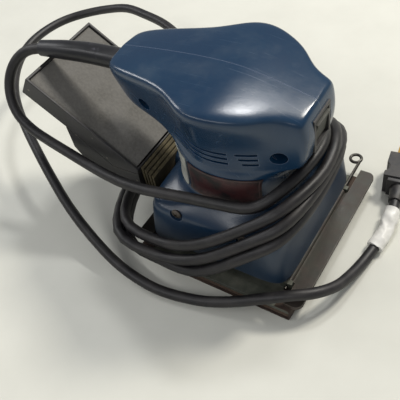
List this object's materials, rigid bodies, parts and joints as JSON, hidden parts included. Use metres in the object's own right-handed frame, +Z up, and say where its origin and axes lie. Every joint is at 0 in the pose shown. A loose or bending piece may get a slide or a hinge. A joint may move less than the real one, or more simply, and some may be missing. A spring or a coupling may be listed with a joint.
{
  "type": "orbital sander",
  "caption": "Quarter-sheet palm sander with a motor housing, orbiting clamped pad, rear dust box, rocker switch and a mains lead wound round its body.",
  "frame": {"origin": "on the sanding face, at its centre, under the motor axis", "axes": "+X towards the switch end, +Y to the tool's left, +Z up"},
  "size_m": [0.3158, 0.1937, 0.1289],
  "materials": {
    "housing_plastic": "moulded blue-black plastic, softly polished by use",
    "label_red": "printed self-adhesive label",
    "label_silver": "silvered self-adhesive label",
    "black_plastic": "black moulded plastic",
    "rocker_plastic": "grey-green plastic, dusty",
    "cord_rubber": "dull black rubber sheath",
    "screw_steel": "zinc-plated steel",
    "bearing_steel": "ground bearing steel",
    "copper": "enamelled copper wire",
    "brass": "bright brass",
    "carbon": "pressed carbon",
    "core_iron": "stacked steel laminations",
    "cast_alloy": "die-cast alloy",
    "fan_plastic": "pale nylon",
    "plate_metal": "grey-green plated steel, dusty",
    "clamp_metal": "brown-stained steel",
    "wire_steel": "spring wire",
    "foam": "brown foam rubber",
    "abrasive": "abrasive-coated paper",
    "box_plastic": "black moulded plastic",
    "neck_plastic": "dusty olive-brown ribbed plastic",
    "felt": "pale grey filter felt, dusty",
    "filter_paper": "pleated filter paper",
    "tag_paper": "white label film",
    "blade_brass": "plated brass blades"
  },
  "bodies": {
    "housing": {"housing_right": "housing_plastic", "housing_left": "housing_plastic", "housing_screws": "screw_steel", "side_label_right": "label_red", "side_label_left": "label_red", "rating_plate_right": "label_silver", "rating_plate_left": "label_silver", "switch_bezel": "black_plastic", "switch_body": "black_plastic", "strain_relief": "cord_rubber", "cord_clamp": "black_plastic", "clamp_screws": "screw_steel", "lead_wires": "cord_rubber", "upper_bearing_seat": "cast_alloy", "brush_plate": "black_plastic", "brush_holders": "brass", "carbon_brushes": "carbon", "brush_springs": "screw_steel", "field_core": "core_iron", "field_windings": "copper", "field_screws": "screw_steel", "bearing_bridge": "cast_alloy", "air_baffle": "black_plastic", "orbit_posts": "cord_rubber", "dust_spigot": "housing_plastic", "upper_bearing_race": "bearing_steel", "lower_bearing_race": "bearing_steel", "cord_lead": "cord_rubber", "cord_coil": "cord_rubber", "cord_run": "cord_rubber", "cord_tag": "tag_paper", "plug_body": "black_plastic", "plug_blades": "blade_brass"},
    "rotor": {"upper_bearing_hub": "bearing_steel", "lower_bearing_hub": "bearing_steel", "armature_shaft": "bearing_steel", "armature_core": "core_iron", "armature_windings": "copper", "commutator": "copper", "fan": "fan_plastic", "counterweight": "core_iron", "eccentric_bearing_hub": "bearing_steel"},
    "platen": {"eccentric_bearing_race": "bearing_steel", "platen_carrier": "black_plastic", "platen_plate": "plate_metal", "plate_screws": "screw_steel", "foam_pad": "foam", "abrasive_sheet": "abrasive"},
    "front_bar": {"front_clamp_bar": "clamp_metal"},
    "front_lever": {"front_clamp_lever": "wire_steel"},
    "rear_bar": {"rear_clamp_bar": "clamp_metal"},
    "rear_lever": {"rear_clamp_lever": "wire_steel"},
    "switch": {"switch_rocker": "rocker_plastic"},
    "dust_box": {"dust_box_frame": "box_plastic", "dust_box_neck": "neck_plastic", "dust_box_tub": "box_plastic", "filter_panel": "felt", "filter_pleats": "filter_paper", "spigot_seal": "cord_rubber"}
  },
  "joints": [
    {"name": "motor_spin", "type": "hinge", "parent": "housing", "child": "rotor", "pos_m": [0, 0, 0], "axis": [0, 0, 1], "continuous": true},
    {"name": "platen_counterturn", "type": "hinge", "parent": "rotor", "child": "platen", "pos_m": [0.0008, 0, 0], "axis": [0, 0, 1], "continuous": true},
    {"name": "front_lever_lift", "type": "hinge", "parent": "platen", "child": "front_lever", "pos_m": [0.045, 0, 0.01225], "axis": [0, 1, 0], "range_deg": [0, 45]},
    {"name": "front_bar_open", "type": "hinge", "parent": "platen", "child": "front_bar", "pos_m": [0.045, 0, 0.01225], "axis": [0, 1, 0], "range_deg": [-6.75, 0]},
    {"name": "rear_lever_lift", "type": "hinge", "parent": "platen", "child": "rear_lever", "pos_m": [-0.045, 0, 0.01225], "axis": [0, -1, 0], "range_deg": [0, 45]},
    {"name": "rear_bar_open", "type": "hinge", "parent": "platen", "child": "rear_bar", "pos_m": [-0.045, 0, 0.01225], "axis": [0, -1, 0], "range_deg": [-6.75, 0]},
    {"name": "switch_rock", "type": "hinge", "parent": "housing", "child": "switch", "pos_m": [0.0425, 0, 0.1025], "axis": [0, 1, 0], "range_deg": [-14, 0]},
    {"name": "dust_box_pull", "type": "slide", "parent": "housing", "child": "dust_box", "axis": [-1, 0, 0], "range_m": [0, 0.012]}
  ],
  "couplings": [
    {"joint": "platen_counterturn", "follows": "motor_spin", "ratio": -1},
    {"joint": "front_bar_open", "follows": "front_lever_lift", "ratio": -0.15},
    {"joint": "rear_bar_open", "follows": "rear_lever_lift", "ratio": -0.15}
  ]
}
